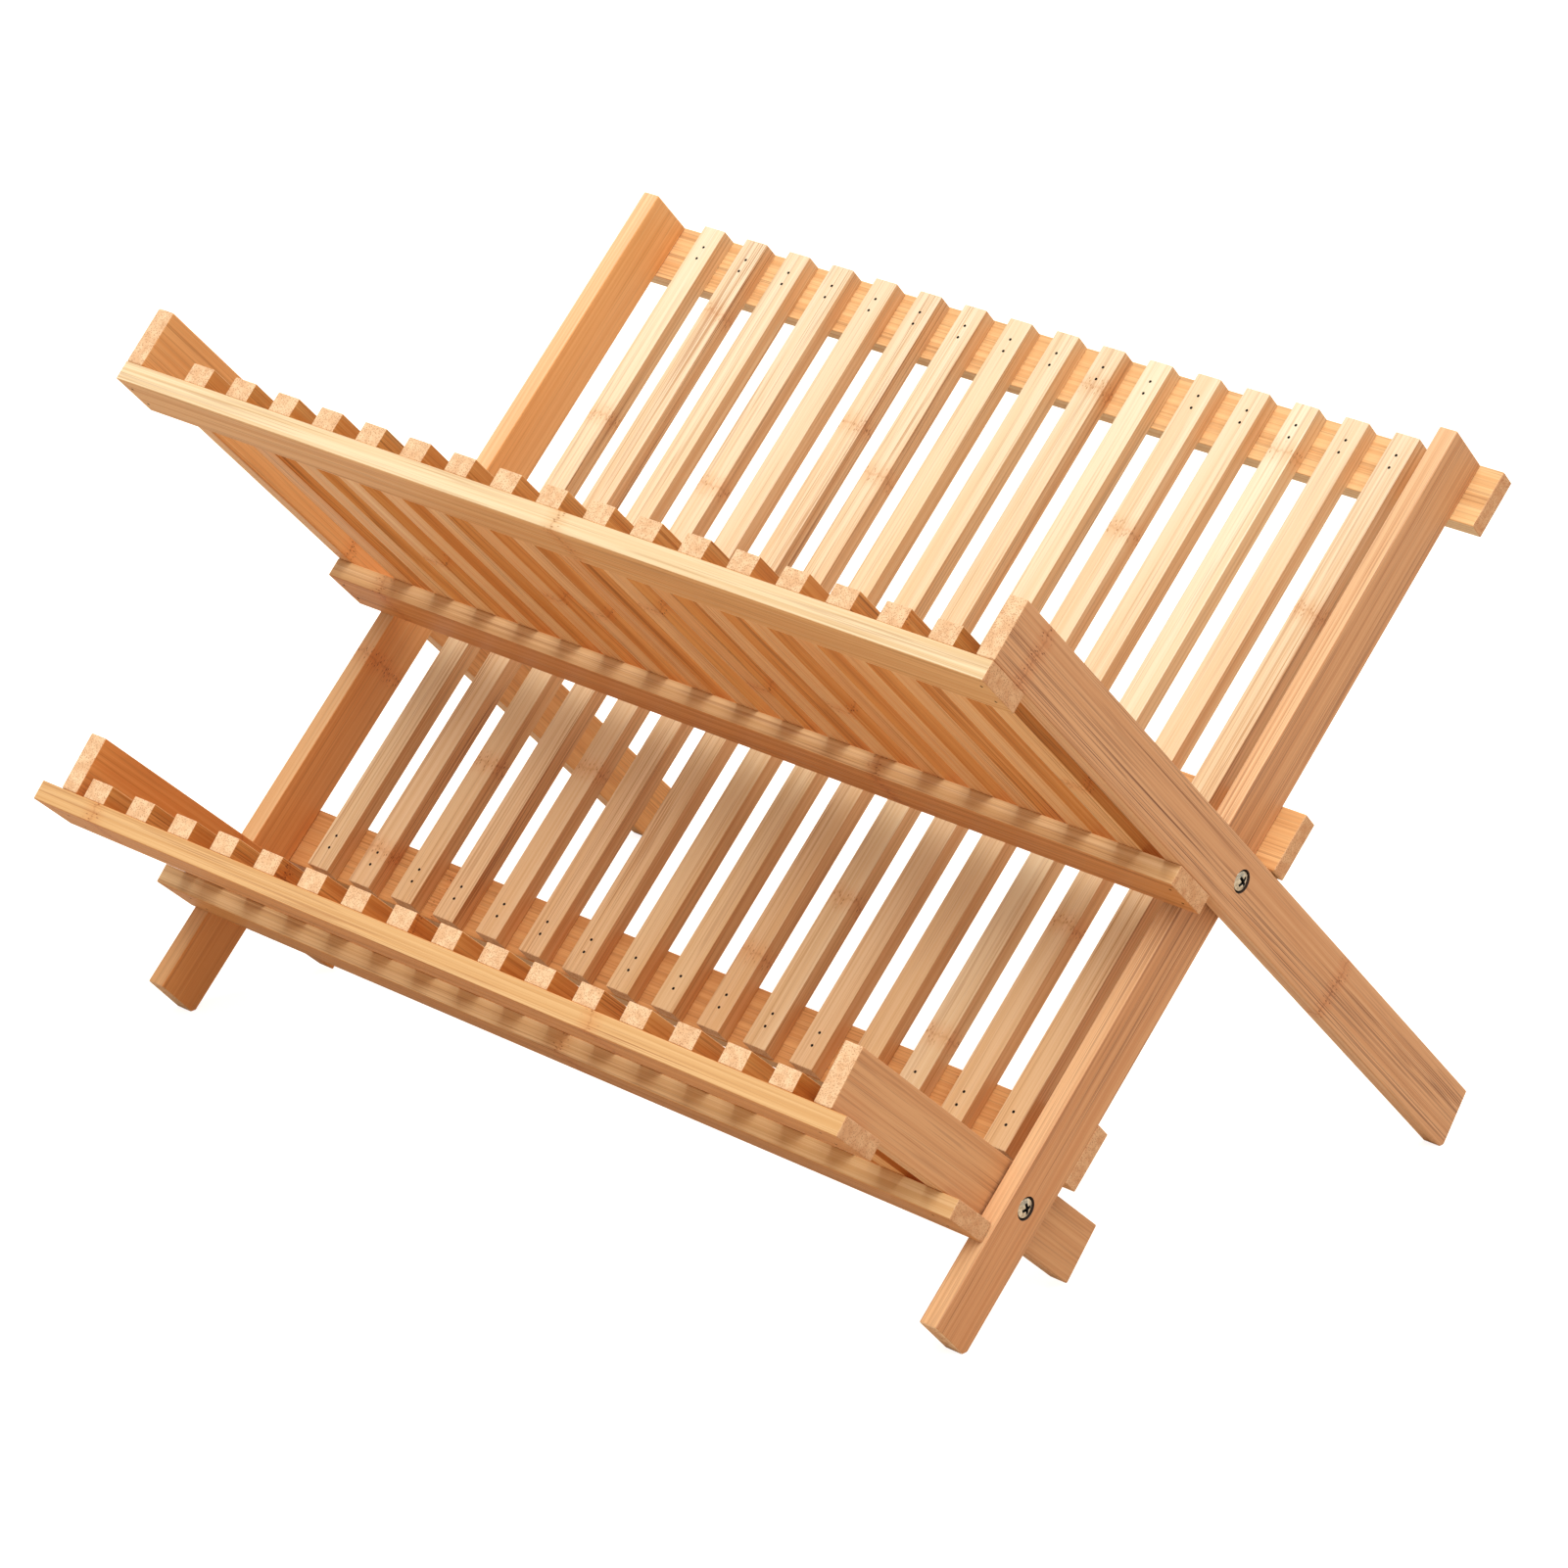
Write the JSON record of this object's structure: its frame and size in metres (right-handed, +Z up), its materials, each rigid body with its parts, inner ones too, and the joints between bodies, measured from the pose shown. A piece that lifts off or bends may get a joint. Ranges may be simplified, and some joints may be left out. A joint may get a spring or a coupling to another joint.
{
  "type": "dish drying rack",
  "caption": "Two-tier folding dish drying rack of bamboo: crossed slatted frames hold plates above, and a smaller slatted frame hinged to the legs holds cups below.",
  "frame": {"origin": "bottom centre of the bounding box, on the surface that the rack stands on, with the rack open", "axes": "+Z up, +Y to the back, +X to the right as seen from the front, along the crossbars and the pivot axes"},
  "size_m": [0.3892, 0.3284, 0.2635],
  "materials": {
    "bamboo_slat": "planed bamboo, fine lengthwise grain, unvarnished satin",
    "bamboo_rail": "planed bamboo, dark lengthwise grain lines, satin",
    "bamboo_bar": "planed bamboo, fine lengthwise grain, satin",
    "pivot_nickel": "bright nickel plate with a warm tone",
    "nail_steel": "dark steel nail heads, sunk below the surface"
  },
  "bodies": {
    "back_frame": {"back_rail_left": "bamboo_rail", "back_rail_right": "bamboo_rail", "back_top_bar": "bamboo_bar", "back_middle_bar": "bamboo_bar", "back_lower_bar": "bamboo_bar", "back_slat_1": "bamboo_slat", "back_slat_2": "bamboo_slat", "back_slat_3": "bamboo_slat", "back_slat_4": "bamboo_slat", "back_slat_5": "bamboo_slat", "back_slat_6": "bamboo_slat", "back_slat_7": "bamboo_slat", "back_slat_8": "bamboo_slat", "back_slat_9": "bamboo_slat", "back_slat_10": "bamboo_slat", "back_slat_11": "bamboo_slat", "back_slat_12": "bamboo_slat", "back_slat_13": "bamboo_slat", "back_slat_14": "bamboo_slat", "back_slat_15": "bamboo_slat", "back_slat_16": "bamboo_slat", "back_nails": "nail_steel", "pivot_screws": "pivot_nickel", "pivot_sleeves": "pivot_nickel"},
    "front_frame": {"front_rail_left": "bamboo_rail", "front_rail_right": "bamboo_rail", "front_top_bar": "bamboo_bar", "front_lower_bar": "bamboo_bar", "front_slat_1": "bamboo_slat", "front_slat_2": "bamboo_slat", "front_slat_3": "bamboo_slat", "front_slat_4": "bamboo_slat", "front_slat_5": "bamboo_slat", "front_slat_6": "bamboo_slat", "front_slat_7": "bamboo_slat", "front_slat_8": "bamboo_slat", "front_slat_9": "bamboo_slat", "front_slat_10": "bamboo_slat", "front_slat_11": "bamboo_slat", "front_slat_12": "bamboo_slat", "front_slat_13": "bamboo_slat", "front_slat_14": "bamboo_slat", "front_slat_15": "bamboo_slat", "front_slat_16": "bamboo_slat", "front_slat_17": "bamboo_slat", "front_nails": "nail_steel"},
    "lower_frame": {"lower_rail_left": "bamboo_rail", "lower_rail_right": "bamboo_rail", "lower_top_bar": "bamboo_bar", "lower_bottom_bar": "bamboo_bar", "lower_slat_pair_1": "bamboo_slat", "lower_slat_pair_2": "bamboo_slat", "lower_slat_pair_3": "bamboo_slat", "lower_slat_pair_4": "bamboo_slat", "lower_slat_pair_5": "bamboo_slat", "lower_slat_pair_6": "bamboo_slat", "lower_slat_pair_7": "bamboo_slat", "lower_slat_pair_8": "bamboo_slat", "lower_nails": "nail_steel"}
  },
  "joints": [
    {"name": "front_frame_fold", "type": "hinge", "parent": "back_frame", "child": "front_frame", "pos_m": [0, 0.01986, 0.135], "axis": [1, 0, 0], "range_deg": [-91.8, 0]},
    {"name": "lower_frame_fold", "type": "hinge", "parent": "back_frame", "child": "lower_frame", "pos_m": [0, -0.06936, 0.04294], "axis": [1, 0, 0], "range_deg": [-95.3, 0]}
  ]
}
